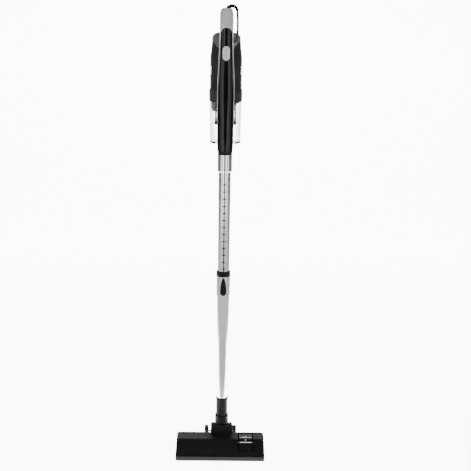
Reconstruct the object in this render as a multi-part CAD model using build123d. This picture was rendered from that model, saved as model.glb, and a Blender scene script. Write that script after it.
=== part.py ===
"""Corded stick vacuum cleaner: a floor head, a telescopic wand and a hand-held motor and dust-cup unit.

Units are millimetres. +Z is up, -Y is the front, and the origin is on the floor at the middle of the
floor head's sole. The wand and the hand-held unit are drawn upright about the wand's axis, with heights
above the floor, and are then leaned forward about the head's pitch axis, as they stand when parked.
"""

import os
from math import cos, radians, sin, tan

from build123d import *

# Floor head
HEAD_WIDTH = 236.0
HEAD_DEPTH = 96.0
HEAD_CORNER_R = 7.0
HEAD_REAR_Z = 40.0  # top of the cover at its rear edge
HEAD_CREASE_Z = 38.5  # top of the cover where its front slope starts
HEAD_CREASE_Y = 7.0
HEAD_FRONT_Z = 15.0  # top of the cover at the bumper
COVER_WALL = 2.5
SOLE_THICKNESS = 3.0
BUMPER_DEPTH = 4.5
BUMPER_GROOVE = 1.0
BUMPER_Z = (2.0, 13.6)
MOUTH_WIDTH = 196.0
MOUTH_DEPTH = 15.0
MOUTH_Y = -17.0
MOUTH_LIP_Z = 22.0
BRUSH_LENGTH = 204.0
BRUSH_THICKNESS = 4.0
BRUSH_Y = (-37.0, 38.0)
BRUSH_FRAME_Z = (7.0, 10.0)
BRUSH_FRAME_BAR = 9.0
BRUSH_FRAME_END = 6.0
BRUSH_TRAVEL = 3.5
BRISTLE_TIP_Z = 0.6
LINT_Y = (-30.0, -4.0)
LINT_DEPTH = 4.0
LINT_THICKNESS = 0.8
PEDAL_X = 69.0
PEDAL_WIDTH = 35.6
PEDAL_GAP = 3.0
PEDAL_Y = (-26.0, 43.0)
PEDAL_PIVOT = (9.0, 27.0)  # y and z of the pedal's pin
PEDAL_PIN_R = 2.0
PEDAL_FLOOR_Z = 13.0
HEAD_SCREW_R = 1.6
HEAD_SCREW_HEAD_R = 3.2

# Elbow and wheels
PIVOT_Y = HEAD_DEPTH / 2 + 25.0
PIVOT_Z = 33.0
WAND_X = 3.0
GAP = 0.4  # between pieces that move past each other
RUNNING = 0.05  # radial clearance of a turning fit
BARREL_R = 22.5
BARREL_HALF = 29.5
BARREL_WALL = 2.5
SADDLE_WALL = 3.2
STUB_R = 15.0
STUB_WALL = 2.5
STUB_BORE_R = STUB_R - STUB_WALL
STUB_TOP_Z = 84.0
WHEEL_R = 17.0
WHEEL_WIDTH = 11.0
WHEEL_INNER_X = BARREL_HALF + 4.0
WHEEL_Y = PIVOT_Y + 32.0
TREAD = 2.5
AXLE_R = 2.5
TAIL_Y = HEAD_DEPTH / 2 - 6.0  # the base plate's tail, from inside the cover to under the barrel
TAIL_TOP_Z = 10.0
GUARD_TOP_Z = 59.7  # the hump of the cover in front of the elbow
EAR_X = ((-25.0, -18.0), (24.0, 31.0))

# Neck and wand, as heights above the floor when upright
LEAN_DEG = 5.0
RING_Z = (PIVOT_Z + BARREL_R + 0.7, STUB_TOP_Z + 2.0)
RING_R = STUB_R + GAP + 2.9
NECK_Z = (RING_Z[1], RING_Z[1] + 48.0)
RIM_TOP_Z = NECK_Z[1] + 4.4
INNER_TUBE_R = 16.0
INNER_TUBE_WALL = 1.5
TUBE_SLIP = 0.3  # radial clearance of the inner tube in the outer one
TUBE_WALL = 1.2
OUTER_TUBE_R = INNER_TUBE_R + TUBE_SLIP + TUBE_WALL
OUTER_TUBE_TOP_Z = 489.0
SWAGE_R = OUTER_TUBE_R - 3.0
SWAGE_BOTTOM_Z = NECK_Z[0] + 15.0
SWAGE_TOP_Z = RIM_TOP_Z + 5.1
NECK_R = SWAGE_R + 1.0
RIM_R = NECK_R + 1.1
COLLAR_Z = (OUTER_TUBE_TOP_Z - 52.7, OUTER_TUBE_TOP_Z)
COLLAR_R = OUTER_TUBE_R + 1.5
COLLAR_RING_TOP_Z = OUTER_TUBE_TOP_Z + 14.0
COLLAR_RING_R = COLLAR_R - 0.5
TUBE_BUTTON_Z = (OUTER_TUBE_TOP_Z - 50.0, OUTER_TUBE_TOP_Z - 2.5)
TUBE_BUTTON_HALF = 8.2
TUBE_BUTTON_FRONT = COLLAR_R + 3.2
TUBE_BUTTON_TRAVEL = 3.0
NOTCHES = 13
NOTCH_PITCH = 18.64
NOTCH_TOP_Z = 734.4
INNER_TUBE_Z = (OUTER_TUBE_TOP_Z - 94.0, NOTCH_TOP_Z + 38.6)
NOTCH_DEPTH = 0.8
NOTCH_HALF = 5.0
GROOVE_HALF = 1.5
NOZZLE_R = 17.3
NOZZLE_BORE_R = 14.5
NOZZLE_Z = (INNER_TUBE_Z[1] + 1.0, 850.0)
SEAL_Z = NOZZLE_Z[0] + 16.0
SLEEVE_Z = (INNER_TUBE_Z[1] - 7.0, INNER_TUBE_Z[1] + 37.0)
SLEEVE_R = NOZZLE_R + 1.6

# Hand-held unit
SEAL_WIRE_R = 0.8
SPINE = (  # height, width, front y, back y, corner radius of each section of the spine
    (811.0, 36.4, -18.4, 18.4, 17.9),
    (825.0, 39.3, -19.3, 18.6, 17.9),
    (871.0, 40.6, -19.5, 18.0, 17.0),
    (945.0, 42.0, -19.0, 18.0, 16.0),
    (1061.0, 35.0, -17.5, 16.0, 14.0),
    (1118.0, 33.0, -16.5, 15.0, 14.0),
    (1150.0, 32.6, -16.0, 14.0, 14.0),
)
SPINE_END = (  # rounding of the handle's top
    (1150.0, 32.6, -16.0, 14.0, 14.0),
    (1158.0, 29.6, -14.6, 12.6, 13.0),
    (1162.6, 24.4, -12.2, 10.2, 10.8),
    (1164.0, 18.0, -9.2, 7.2, 7.8),
)
COVER_HALVES = ((820.0, 24.0), (876.0, 21.0), (945.0, 18.0), (1061.0, 14.8), (1104.0, 13.5))
COVER_ARCH_TOP_Z = 1118.0
COVER_SPLIT_Y = -6.0
COVER_PROUD = 0.8
COVER_GAP = 0.15
DUCT = (33.0, 28.0, 12.0)  # width, depth and corner radius of the air duct in the spine
DUCT_TOP_Z = 962.0
SWITCH_BAY = (24.0, 22.0, 9.0)
SWITCH_BAY_Z = (985.0, 1122.0)
PORT_HALF = 11.0
PORT_Z = (946.0, 960.0)
WEB_HALF = 11.0
WEB_Z = (985.0, 1046.0)
POWER_BUTTON_Z = 1058.0
POWER_BUTTON = (17.0, 34.0)
POWER_TRAVEL = 1.5
HOUSING_R = 40.5
CUP_TOP_R = HOUSING_R + 1.1
CUP_CLEARANCE = 2.4  # between the back of the spine and the dust cup
CYL_Y = 18.0 + CUP_CLEARANCE + CUP_TOP_R  # axis of the motor and the dust cup, behind the wand's axis
HOUSING_WALL = 2.5
HOUSING_Z = 967.5
HOUSING_STRAIGHT_Z = 1046.0
SHOULDER = ((37.2, 1074.0), (36.2, 1090.0))
DOME_FLAT_R = 17.0
DOME_TOP_Z = 1106.0
CAP_EDGE_Z = 1082.5
CAP_SLOPE = 1.156  # rise over run of the finger notch and of the cap's front edge
CAP_FRONT_Z = 1059.0
NOTCH_RISE = 6.0
GRILLE_Z = (1000.0, 1027.0)
GRILLE_HALF = 22.0
GRILLE_PROUD = 1.0
GRILLE_SLOTS = 5
COLLAR_CUP_Z = HOUSING_Z - 27.5
COLLAR_CUP_R = CUP_TOP_R + 1.4
CUP_BOTTOM_R = CUP_TOP_R - 2.2
CUP_WALL = 2.0
CUP_Z = (COLLAR_CUP_Z - 109.0, COLLAR_CUP_Z - GAP)
CUP_TRAVEL = 80.0
LATCH_TRAVEL = 1.5
SKIRT_R = CUP_TOP_R - 4.0
SKIRT_WALL = 2.0
SKIRT_BOTTOM_Z = COLLAR_CUP_Z - 30.0
SKIRT_CUT_SLOPE = 0.45
STEM_R = 27.5
STEM_WALL = 1.5
STEM_Z = (COLLAR_CUP_Z - 51.5, COLLAR_CUP_Z)
STEM_RIBS = 24
FLANGE_R = STEM_R + 1.9
FLANGE_Z = (STEM_Z[0] - 10.0, STEM_Z[0])
FILTER_R = STEM_R - 5.5
FILTER_PLEATS = 16

# Motor
SHAFT_R = 4.0
FAN_R = HOUSING_R - 7.5
FAN_Z = (HOUSING_Z + 9.5, HOUSING_Z + 21.5)
BRACKET_Z = (FAN_Z[1] + 2.5, FAN_Z[1] + 8.5)
STATOR_Z = (BRACKET_Z[1] + 1.5, BRACKET_Z[1] + 40.5)
STATOR_R = (31.0, 19.5)
ARMATURE_R = STATOR_R[1] - 0.8
BEARING = (9.0, 6.0)  # radius and width
TOP_BEARING_Z = STATOR_Z[1] + 8.0
SHAFT_Z = (FAN_Z[0] - 2.0, TOP_BEARING_Z + 10.0)

# Cord, drawn with the hand-held unit
CORD_R = 2.8
HANK_INNER_R = 14.2
HANK_OUTER_R = 36.4
HANK_STRAIGHT = 51.0
HANK_Z = 1024.0
HANK_Y = (CYL_Y + COLLAR_CUP_R, CYL_Y + COLLAR_CUP_R + 10 * CORD_R)
HANK_LEAD_Y = HANK_Y[0] + 3 * CORD_R  # depth at which the cord enters the hank
TIE = (14.0, 1.6)  # height and thickness of the strap
PLUG_BODY = (32.0, 22.0, 38.0)
PLUG_X = -17.0
PLUG_BOOT = (5.4, 4.2, 12.0)  # radii and length of the sleeve at the plug's cable end
PIN_R = 2.4
PIN_LENGTH = 19.0
PIN_SPACING = 19.0
BOOT_R = (5.2, 4.0)
BOOT_ARC = (13.0, 1157.0, 12.0)  # x, z and radius of the strain relief's bend
CORD_ROUTE = (
    (24.93, 0.0, 1158.25),
    (26.6, 0.0, 1142.3),
    (27.0, 1.4, 1124.0),
    (26.8, 4.0, 1106.5),
    (24.6, 8.0, 1089.0),
    (16.2, 15.0, 1075.3),
    (1.5, 25.5, 1076.2),
    (-7.8, 36.5, 1090.2),
    (-10.5, 50.5, 1106.8),
    (-9.5, 68.0, 1116.0),
    (-6.0, 87.0, 1118.0),
    (-2.0, 103.5, 1115.0),
    (0.0, HANK_LEAD_Y, 1101.5),
    (0.0, HANK_LEAD_Y, HANK_Z + HANK_STRAIGHT / 2 + HANK_OUTER_R),
)

parts = {}


def keep(name, shape):
    """Names a piece of the object; several solids share one node."""
    solids = shape.solids()
    parts[name] = solids[0] if len(solids) == 1 else Compound(children=list(solids))


def box(x, y, z):
    """A box from its lowest and highest x, y and z."""
    size = Box(x[1] - x[0], y[1] - y[0], z[1] - z[0])
    return Pos((x[0] + x[1]) / 2, (y[0] + y[1]) / 2, (z[0] + z[1]) / 2) * size


def rod(r, z, x=0.0, y=0.0):
    """An upright cylinder between two heights."""
    return Pos(x, y, (z[0] + z[1]) / 2) * Cylinder(r, z[1] - z[0])


def tube(r_out, r_in, z, x=0.0, y=0.0):
    return rod(r_out, z, x, y) - rod(r_in, z, x, y)


def cross_rod(r, x, y, z):
    """A cylinder along X between two x values."""
    return Pos((x[0] + x[1]) / 2, y, z) * Rot(0, 90, 0) * Cylinder(r, x[1] - x[0])


def side_prism(outline, x):
    """A closed outline of (y, z) points, extruded along X between two x values."""
    face = make_face(Polyline(*[(x[0], y, z) for y, z in outline], close=True))
    return extrude(face, x[1] - x[0], dir=(1, 0, 0))


def turned(profile, x=0.0, y=0.0):
    """A closed outline of (radius, height) points, turned about an upright axis."""
    face = make_face(Polyline(*[(r, 0, z) for r, z in profile], close=True))
    return Pos(x, y, 0) * revolve(face, Axis.Z)


def face_of(*curves):
    """The face inside a closed run of lines and curves."""
    return Face(Wire([edge for curve in curves for edge in curve.edges()]))


def rounded_column(size, z, y=0.0):
    width, depth, radius = size
    face = Pos(0, y, z[0]) * RectangleRounded(width, depth, radius)
    return extrude(face, z[1] - z[0], dir=(0, 0, 1))


def leaned(shape):
    """Moves a piece drawn upright about the wand's axis to its parked place on the head."""
    lean = Pos(WAND_X, PIVOT_Y, PIVOT_Z) * Rot(LEAN_DEG, 0, 0) * Pos(0, 0, -PIVOT_Z)
    return lean * shape


# Floor head


def head_footprint(inset, z):
    width, depth = HEAD_WIDTH - 2 * inset, HEAD_DEPTH - 2 * inset
    return extrude(Pos(0, 0, z[0]) * RectangleRounded(width, depth, HEAD_CORNER_R - inset), z[1] - z[0])


def cover_outline(drop, front, rear):
    """The cover's side outline, drop below its outer skin, from a front y to a rear y."""
    return [
        (front, SOLE_THICKNESS),
        (front, HEAD_FRONT_Z - drop),
        (HEAD_CREASE_Y, HEAD_CREASE_Z - drop),
        (rear, HEAD_REAR_Z - drop),
        (rear, SOLE_THICKNESS),
    ]


def cover_solid(inset):
    front = -HEAD_DEPTH / 2 + BUMPER_DEPTH + inset
    half = HEAD_WIDTH / 2
    prism = side_prism(cover_outline(inset, front, HEAD_DEPTH / 2 - inset), (-half, half))
    return prism & head_footprint(inset, (0, HEAD_REAR_Z + 1))


def pedal_recess(extra):
    half = PEDAL_WIDTH / 2 + PEDAL_GAP + extra
    y = (PEDAL_Y[0] - PEDAL_GAP - extra, PEDAL_Y[1] + PEDAL_GAP + extra)
    return box((PEDAL_X - half, PEDAL_X + half), y, (PEDAL_FLOOR_Z - extra, HEAD_REAR_Z + 5))


def head_cover():
    shell = cover_solid(0) - cover_solid(COVER_WALL)
    shell += (cover_solid(0) & pedal_recess(COVER_WALL)) - pedal_recess(0)
    shell -= pedal_recess(0)
    bosses = [rod(HEAD_SCREW_HEAD_R, (SOLE_THICKNESS, HEAD_REAR_Z), x, y) for x, y in head_screw_places()]
    shell += [boss & cover_solid(0) for boss in bosses]
    shell -= [rod(HEAD_SCREW_R, (0, HEAD_FRONT_Z - 4), x, y) for x, y in head_screw_places()]
    half = BARREL_HALF + 2
    shell -= cross_rod(BARREL_R + SADDLE_WALL + 2, (WAND_X - half, WAND_X + half), PIVOT_Y, PIVOT_Z)
    shell += elbow_guard()
    shell -= head_duct(0)
    shell -= box((WAND_X - BARREL_HALF, WAND_X + BARREL_HALF), (TAIL_Y, 60.0), (0, TAIL_TOP_Z))
    pin_x = PEDAL_X - PEDAL_WIDTH / 2 - PEDAL_GAP - COVER_WALL
    shell -= cross_rod(PEDAL_PIN_R, (pin_x, 2 * PEDAL_X - pin_x), *PEDAL_PIVOT)
    return shell


def elbow_guard():
    """The hump at the rear of the cover, which stands in front of the elbow."""
    rear = PIVOT_Y - BARREL_R + 0.5
    outline = [
        (rear - 11.0, HEAD_CREASE_Z - 0.5),
        (rear - 10.2, HEAD_REAR_Z + 5.0),
        (rear - 8.4, HEAD_REAR_Z + 10.5),
        (rear - 5.6, HEAD_REAR_Z + 15.5),
        (rear - 2.6, GUARD_TOP_Z),
        (rear, GUARD_TOP_Z),
        (rear, HEAD_REAR_Z + 0.5),
        (rear - 5.0, HEAD_CREASE_Z - 0.5),
    ]
    return side_prism(outline, (WAND_X - BARREL_HALF, WAND_X + BARREL_HALF))


def head_duct(extra):
    """The space of the air duct from the head to the elbow."""
    half = 20.0 + extra
    rear = HEAD_DEPTH / 2 + 6
    return box((WAND_X - half, WAND_X + half), (HEAD_DEPTH / 2 - 8, rear), (12.0 - extra, 30.0 + extra))


def head_screw_places():
    x = HEAD_WIDTH / 2 - 9
    return [(-x, -24), (x, -24), (-x, 20), (x, 20)]


def slots_in_sole():
    mouth = box((-MOUTH_WIDTH / 2, MOUTH_WIDTH / 2), (MOUTH_Y - MOUTH_DEPTH / 2, MOUTH_Y + MOUTH_DEPTH / 2), (-1, 9))
    half = BRUSH_LENGTH / 2 + GAP
    depth = BRUSH_THICKNESS / 2 + GAP
    return [mouth] + [box((-half, half), (y - depth, y + depth), (-1, 9)) for y in BRUSH_Y]


def saddle(angles, x):
    """A stretch of the cradle round the elbow's barrel, between two angles from the rear."""
    ring = cross_rod(BARREL_R + GAP + SADDLE_WALL, x, PIVOT_Y, PIVOT_Z)
    ring -= cross_rod(BARREL_R + GAP, x, PIVOT_Y, PIVOT_Z)
    reach = 2 * BARREL_R
    steps = [angles[0] + (angles[1] - angles[0]) * i / 4 for i in range(5)]
    rim = [(PIVOT_Y + reach * cos(radians(a)), PIVOT_Z + reach * sin(radians(a))) for a in steps]
    return ring & side_prism([(PIVOT_Y, PIVOT_Z)] + rim, x)


def axle_ear(x):
    """One of the two ears behind the barrel that carry the wheels' axle."""
    boss = 7.0
    outline = [(84.0, 8.0), (WHEEL_Y, WHEEL_R - boss - 1), (WHEEL_Y + boss, WHEEL_R), (WHEEL_Y, WHEEL_R + boss)]
    ear = side_prism(outline + [(PIVOT_Y + BARREL_R, WHEEL_R + boss)], x)
    ear -= cross_rod(BARREL_R + GAP, x, PIVOT_Y, PIVOT_Z)
    return ear - cross_rod(AXLE_R, x, WHEEL_Y, WHEEL_R)


def base_plate():
    plate = head_footprint(0, (0, SOLE_THICKNESS))
    front = -HEAD_DEPTH / 2
    plate -= box((-HEAD_WIDTH, HEAD_WIDTH), (front - 1, front + BUMPER_DEPTH), (-1, SOLE_THICKNESS + 1))
    plate -= slots_in_sole()
    lip_y = MOUTH_Y + MOUTH_DEPTH / 2
    half = BRUSH_LENGTH / 2 - BRUSH_FRAME_END - 2
    plate += box((-half, half), (lip_y, lip_y + 1.8), (SOLE_THICKNESS, 7.0))
    barrel = (WAND_X - BARREL_HALF, WAND_X + BARREL_HALF)
    tail = box(barrel, (TAIL_Y, 66.0), (SOLE_THICKNESS - 0.5, TAIL_TOP_Z))
    plate += tail - cross_rod(BARREL_R + GAP, barrel, PIVOT_Y, PIVOT_Z)
    plate += saddle((185, 338), barrel) - head_duct(0)
    for x in EAR_X:
        plate += saddle((338, 400), x)
        plate += axle_ear(x)
    plate -= [rod(HEAD_SCREW_R + 0.3, (-1, 4), x, y) for x, y in head_screw_places()]
    plate -= [rod(HEAD_SCREW_HEAD_R + 0.2, (-1, 1.6), x, y) for x, y in head_screw_places()]
    plate -= [lint_strip(y, 0.0) for y in LINT_Y]
    return plate


def lint_strip(y, shrink):
    half = MOUTH_WIDTH / 2 - shrink
    return box((-half, half), (y - LINT_DEPTH / 2, y + LINT_DEPTH / 2), (0.0, LINT_THICKNESS))


def head_screws():
    screws = []
    for x, y in head_screw_places():
        screws.append(rod(HEAD_SCREW_HEAD_R, (0.2, 1.6), x, y) + rod(HEAD_SCREW_R, (1.6, HEAD_FRONT_Z - 5), x, y))
    return Compound(children=screws)


def front_bumper():
    front = -HEAD_DEPTH / 2
    bar = head_footprint(0, BUMPER_Z)
    bar &= box((-HEAD_WIDTH, HEAD_WIDTH), (front - 1, front + BUMPER_DEPTH - BUMPER_GROOVE), BUMPER_Z)
    ledge = HEAD_WIDTH / 2 - 3 * HEAD_CORNER_R
    y = (front + BUMPER_DEPTH - BUMPER_GROOVE, front + BUMPER_DEPTH)
    return bar + box((-ledge, ledge), y, (BUMPER_Z[0] + 1.5, BUMPER_Z[0] + 6))


def wheel(side):
    inner = side * WHEEL_INNER_X
    x = sorted((inner, inner + side * WHEEL_WIDTH))
    hub = cross_rod(WHEEL_R - TREAD, x, WHEEL_Y, WHEEL_R) - cross_rod(AXLE_R + RUNNING, x, WHEEL_Y, WHEEL_R)
    outer = side * (WHEEL_INNER_X + WHEEL_WIDTH)
    dish = sorted((outer, outer - side * 2.5))
    hub -= cross_rod(WHEEL_R - TREAD - 2.5, dish, WHEEL_Y, WHEEL_R) - cross_rod(AXLE_R + 3, dish, WHEEL_Y, WHEEL_R)
    tread = cross_rod(WHEEL_R, x, WHEEL_Y, WHEEL_R) - cross_rod(WHEEL_R - TREAD, x, WHEEL_Y, WHEEL_R)
    return hub, tread


def wheel_axle():
    half = WHEEL_INNER_X + WHEEL_WIDTH - 1.5
    return cross_rod(AXLE_R, (-half, half), WHEEL_Y, WHEEL_R)


def pedal():
    """A rocker that follows the cover's crease, with a tread bar near each end."""
    x = (PEDAL_X - PEDAL_WIDTH / 2, PEDAL_X + PEDAL_WIDTH / 2)
    slope = (HEAD_CREASE_Z - HEAD_FRONT_Z) / (HEAD_CREASE_Y + HEAD_DEPTH / 2 - BUMPER_DEPTH)
    front_top = HEAD_CREASE_Z - slope * (HEAD_CREASE_Y - PEDAL_Y[0])
    y_pin, z_pin = PEDAL_PIVOT
    outline = [
        (PEDAL_Y[0], front_top - 1.0),
        (HEAD_CREASE_Y, HEAD_CREASE_Z + 0.6),
        (PEDAL_Y[1], HEAD_REAR_Z - 1.2),
        (PEDAL_Y[1], HEAD_REAR_Z - 5.2),
        (y_pin + 4.5, z_pin - 4.0),
        (y_pin - 4.5, z_pin - 4.0),
        (PEDAL_Y[0], front_top - 5.0),
    ]
    rocker = side_prism(outline, x)
    for y, z in pedal_bars():
        rocker -= box((x[0] - 1, x[1] + 1), (y - 4.5, y - 1.0), (z - 2.2, z + 5))
    return rocker - cross_rod(PEDAL_PIN_R + RUNNING, x, y_pin, z_pin)


def pedal_bars():
    """y and z of the pedal's two white bars."""
    return ((15.0, HEAD_CREASE_Z), (-4.0, HEAD_CREASE_Z - 5.5))


def pedal_pin():
    half = PEDAL_WIDTH / 2 + PEDAL_GAP + COVER_WALL
    return cross_rod(PEDAL_PIN_R, (PEDAL_X - half, PEDAL_X + half), *PEDAL_PIVOT)


def brush_frame():
    half = BRUSH_LENGTH / 2
    bar = BRUSH_FRAME_BAR / 2
    y = (BRUSH_Y[0] - bar + 2, BRUSH_Y[1] + bar - 2)
    frame = box((-half, half), y, BRUSH_FRAME_Z)
    inner = (BRUSH_Y[0] + bar, BRUSH_Y[1] - bar)
    end = half - BRUSH_FRAME_END
    return frame - box((-end, end), inner, (0, 20))


def brush_bristles():
    half = BRUSH_LENGTH / 2
    t = BRUSH_THICKNESS / 2
    return Compound(children=[box((-half, half), (y - t, y + t), (BRISTLE_TIP_Z, BRUSH_FRAME_Z[0])) for y in BRUSH_Y])


# Elbow, neck and wand, drawn upright about the wand's axis


def elbow_barrel():
    x = (-BARREL_HALF, BARREL_HALF)
    inner_r = BARREL_R - BARREL_WALL
    barrel = cross_rod(BARREL_R, x, 0, PIVOT_Z)
    barrel += rod(STUB_R, (PIVOT_Z, STUB_TOP_Z))
    barrel -= cross_rod(inner_r, x, 0, PIVOT_Z)
    barrel -= rod(STUB_BORE_R, (PIVOT_Z, STUB_TOP_Z + 1))
    window = box((-18, 18), (-BARREL_R - 1, 0), (PIVOT_Z - BARREL_R, PIVOT_Z - 4))
    return barrel - window


def barrel_end_caps():
    r = BARREL_R - BARREL_WALL
    ends = (BARREL_HALF - BARREL_WALL, BARREL_HALF)
    return Compound(children=[cross_rod(r, sorted((s * ends[0], s * ends[1])), 0, PIVOT_Z) for s in (-1, 1)])


def swivel_ring():
    ring = tube(RING_R, STUB_R + GAP, (RING_Z[0], STUB_TOP_Z + GAP))
    ring += tube(RING_R, STUB_BORE_R, (STUB_TOP_Z + GAP, RING_Z[1]))
    return chamfer(ring.edges().filter_by(GeomType.CIRCLE).group_by(Axis.Z)[-1].sort_by(SortBy.RADIUS)[-1], 2.0)


def neck_socket():
    neck = rod(NECK_R, NECK_Z) + rod(RIM_R, (NECK_Z[1], RIM_TOP_Z))
    neck -= rod(STUB_BORE_R, (NECK_Z[0] - 1, SWAGE_BOTTOM_Z))
    return neck - rod(SWAGE_R, (SWAGE_BOTTOM_Z, RIM_TOP_Z + 1))


def outer_tube():
    step = OUTER_TUBE_R - SWAGE_R
    profile = [
        (SWAGE_R - TUBE_WALL, SWAGE_BOTTOM_Z),
        (SWAGE_R, SWAGE_BOTTOM_Z),
        (SWAGE_R, SWAGE_TOP_Z),
        (OUTER_TUBE_R, SWAGE_TOP_Z + step),
        (OUTER_TUBE_R, OUTER_TUBE_TOP_Z),
        (OUTER_TUBE_R - TUBE_WALL, OUTER_TUBE_TOP_Z),
        (OUTER_TUBE_R - TUBE_WALL, SWAGE_TOP_Z + step),
        (SWAGE_R - TUBE_WALL, SWAGE_TOP_Z),
    ]
    z = detent_z()
    return turned(profile) - box((-4, 4), (-OUTER_TUBE_R - 1, -10), (z[0] - TUBE_BUTTON_TRAVEL - 1, z[1] + 1))


def detent_z():
    middle = (TUBE_BUTTON_Z[0] + TUBE_BUTTON_Z[1]) / 2
    return (middle - 2.0, middle + 2.0)


def teardrop(grow, drop):
    """The tube button's outline, pointed at the top, extruded along Y in front of the collar."""
    r = TUBE_BUTTON_HALF + grow
    centre = TUBE_BUTTON_Z[0] + TUBE_BUTTON_HALF
    top = TUBE_BUTTON_Z[1] + grow
    tip = (2.0 + grow, 0, top - 1.0)
    bowl = ThreePointArc((-r, 0, centre), (0, 0, centre - r), (r, 0, centre))
    right = Spline((r, 0, centre), tip, tangents=((0, 0, 1), (-0.35, 0, 1)))
    left = Spline((-tip[0], 0, tip[2]), (-r, 0, centre), tangents=((-0.35, 0, -1), (0, 0, -1)))
    cap = ThreePointArc(tip, (0, 0, top), (-tip[0], 0, tip[2]))
    return extrude(Pos(0, -16.5, -drop) * face_of(bowl, right, cap, left), 8, dir=(0, -1, 0))


def tube_button():
    """The sliding button, with the lug that reaches through the outer tube's slot."""
    block = teardrop(0, 0) & rod(TUBE_BUTTON_FRONT, (400, 520))
    block -= rod(OUTER_TUBE_R + GAP, (400, 520))
    z = detent_z()
    lug = box((-2.5, 2.5), (-OUTER_TUBE_R - 2, -INNER_TUBE_R), z) & rod(OUTER_TUBE_R + 1, z)
    return block + (lug - rod(INNER_TUBE_R + GAP, z))


def tube_collar():
    return tube(COLLAR_R, OUTER_TUBE_R, COLLAR_Z) - teardrop(GAP, 0) - teardrop(GAP, TUBE_BUTTON_TRAVEL)


def collar_ring():
    ring = tube(COLLAR_RING_R, INNER_TUBE_R + GAP, (COLLAR_Z[1], COLLAR_RING_TOP_Z))
    edge = ring.edges().filter_by(GeomType.CIRCLE).group_by(Axis.Z)[-1].sort_by(SortBy.RADIUS)[-1]
    return fillet(edge, 1.8)


def notch_outline(z):
    """One chevron notch of the inner tube."""
    h = NOTCH_HALF
    return [(-h, z - 2.6), (0, z - 0.2), (h, z - 2.6), (h, z + 0.2), (0, z + 2.6), (-h, z + 0.2)]


def inner_tube():
    shell = tube(INNER_TUBE_R, INNER_TUBE_R - INNER_TUBE_WALL, INNER_TUBE_Z)
    skin = tube(INNER_TUBE_R + 1, INNER_TUBE_R - NOTCH_DEPTH, (INNER_TUBE_Z[0] - 1, SLEEVE_Z[0]))
    low = NOTCH_TOP_Z - (NOTCHES + 3) * NOTCH_PITCH
    cuts = box((-GROOVE_HALF, GROOVE_HALF), (-20, -10), (low, SLEEVE_Z[0]))
    for i in range(NOTCHES):
        outline = notch_outline(NOTCH_TOP_Z - i * NOTCH_PITCH)
        face = make_face(Polyline(*[(x, -10, z) for x, z in outline], close=True))
        cuts += extrude(face, 10, dir=(0, -1, 0))
    return shell - (cuts & skin)


def wand_sleeve():
    lap = INNER_TUBE_Z[1]
    sleeve = tube(SLEEVE_R, NOZZLE_R, (lap, SLEEVE_Z[1])) + tube(SLEEVE_R, INNER_TUBE_R, (SLEEVE_Z[0], lap))
    low = sleeve.edges().filter_by(GeomType.CIRCLE).group_by(Axis.Z)[0].sort_by(SortBy.RADIUS)[-1]
    return chamfer(low, 1.6)


# Hand-held unit, drawn upright about the wand's axis


def spine_loft(sections, ruled):
    faces = []
    for z, width, front, back, radius in sections:
        faces.append(Pos(0, (front + back) / 2, z) * RectangleRounded(width, back - front, radius))
    return loft(faces, ruled=ruled)


def spine_solid():
    return spine_loft(SPINE, False) + spine_loft(SPINE_END, True)


def cover_prism(grow):
    """The front view of the gloss cover, with its arched top, extruded along Y."""
    right = [(half + grow, 0, z) for z, half in COVER_HALVES]
    low = [(right[0][0], 0, 790.0)]
    left = [(-x, 0, z) for x, _, z in reversed(low + right)]
    top = ThreePointArc(right[-1], (0, 0, COVER_ARCH_TOP_Z + grow), left[0])
    outline = face_of(Polyline(*(low + right)), top, Polyline(*left), Line(left[-1], low[0]))
    return extrude(Pos(0, COVER_SPLIT_Y + grow, 0) * outline, 30, dir=(0, -1, 0))


def spine_hollow():
    y = -0.5
    hollow = rounded_column(DUCT, (NOZZLE_Z[1], DUCT_TOP_Z), y)
    hollow += rounded_column(SWITCH_BAY, SWITCH_BAY_Z, y - 1)
    return hollow + rod(NOZZLE_R, (NOZZLE_Z[0], NOZZLE_Z[1]))


def port(extra):
    half = PORT_HALF + extra
    return box((-half, half), (8.0, 30.0), (PORT_Z[0] - extra, PORT_Z[1] + extra))


def web():
    """The bridge between the handle and the motor housing."""
    return box((-WEB_HALF, WEB_HALF), (12.0, CYL_Y - HOUSING_R + HOUSING_WALL), WEB_Z)


def port_frame():
    return box((-PORT_HALF - 2, PORT_HALF + 2), (16.0, 24.0), (PORT_Z[0] - 2, PORT_Z[1] + 2))


def button_hole(grow):
    width, height = POWER_BUTTON
    face = SlotOverall(height + 2 * grow, width + 2 * grow)
    return Pos(0, 0, POWER_BUTTON_Z) * Rot(90, 0, 0) * Rot(0, 0, 90) * extrude(face, 30)


def handle_shell():
    shell = spine_solid() - cover_prism(COVER_GAP) - spine_hollow()
    shell += port_frame() - cup_sweep(GAP)
    shell += web()
    shell -= port(0)
    shell -= spine_hollow()
    return shell - boot_path(0.0)


def spine_cover():
    cover = spine_solid() & cover_prism(0)
    cover -= spine_hollow()
    return cover - button_hole(GAP)


def power_button():
    button = button_hole(0) & (Pos(0, -COVER_PROUD, 0) * spine_loft(SPINE, False))
    return button - box((-20, 20), (-13.0, 30), (900, 1200))


def power_switch():
    z = POWER_BUTTON_Z
    body = box((-8, 8), (-9.0, 6.0), (z - 14, z + 14))
    return body + rod_y(3.0, (-10.8, -9.0), z)


def rod_y(r, y, z, x=0.0):
    """A cylinder along Y between two y values."""
    return Pos(x, (y[0] + y[1]) / 2, z) * Rot(90, 0, 0) * Cylinder(r, y[1] - y[0])


def nozzle():
    pipe = tube(NOZZLE_R, NOZZLE_BORE_R, NOZZLE_Z)
    groove = tube(NOZZLE_R + 1, NOZZLE_R - 2 * SEAL_WIRE_R, (SEAL_Z - SEAL_WIRE_R, SEAL_Z + SEAL_WIRE_R))
    return pipe - groove


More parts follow.
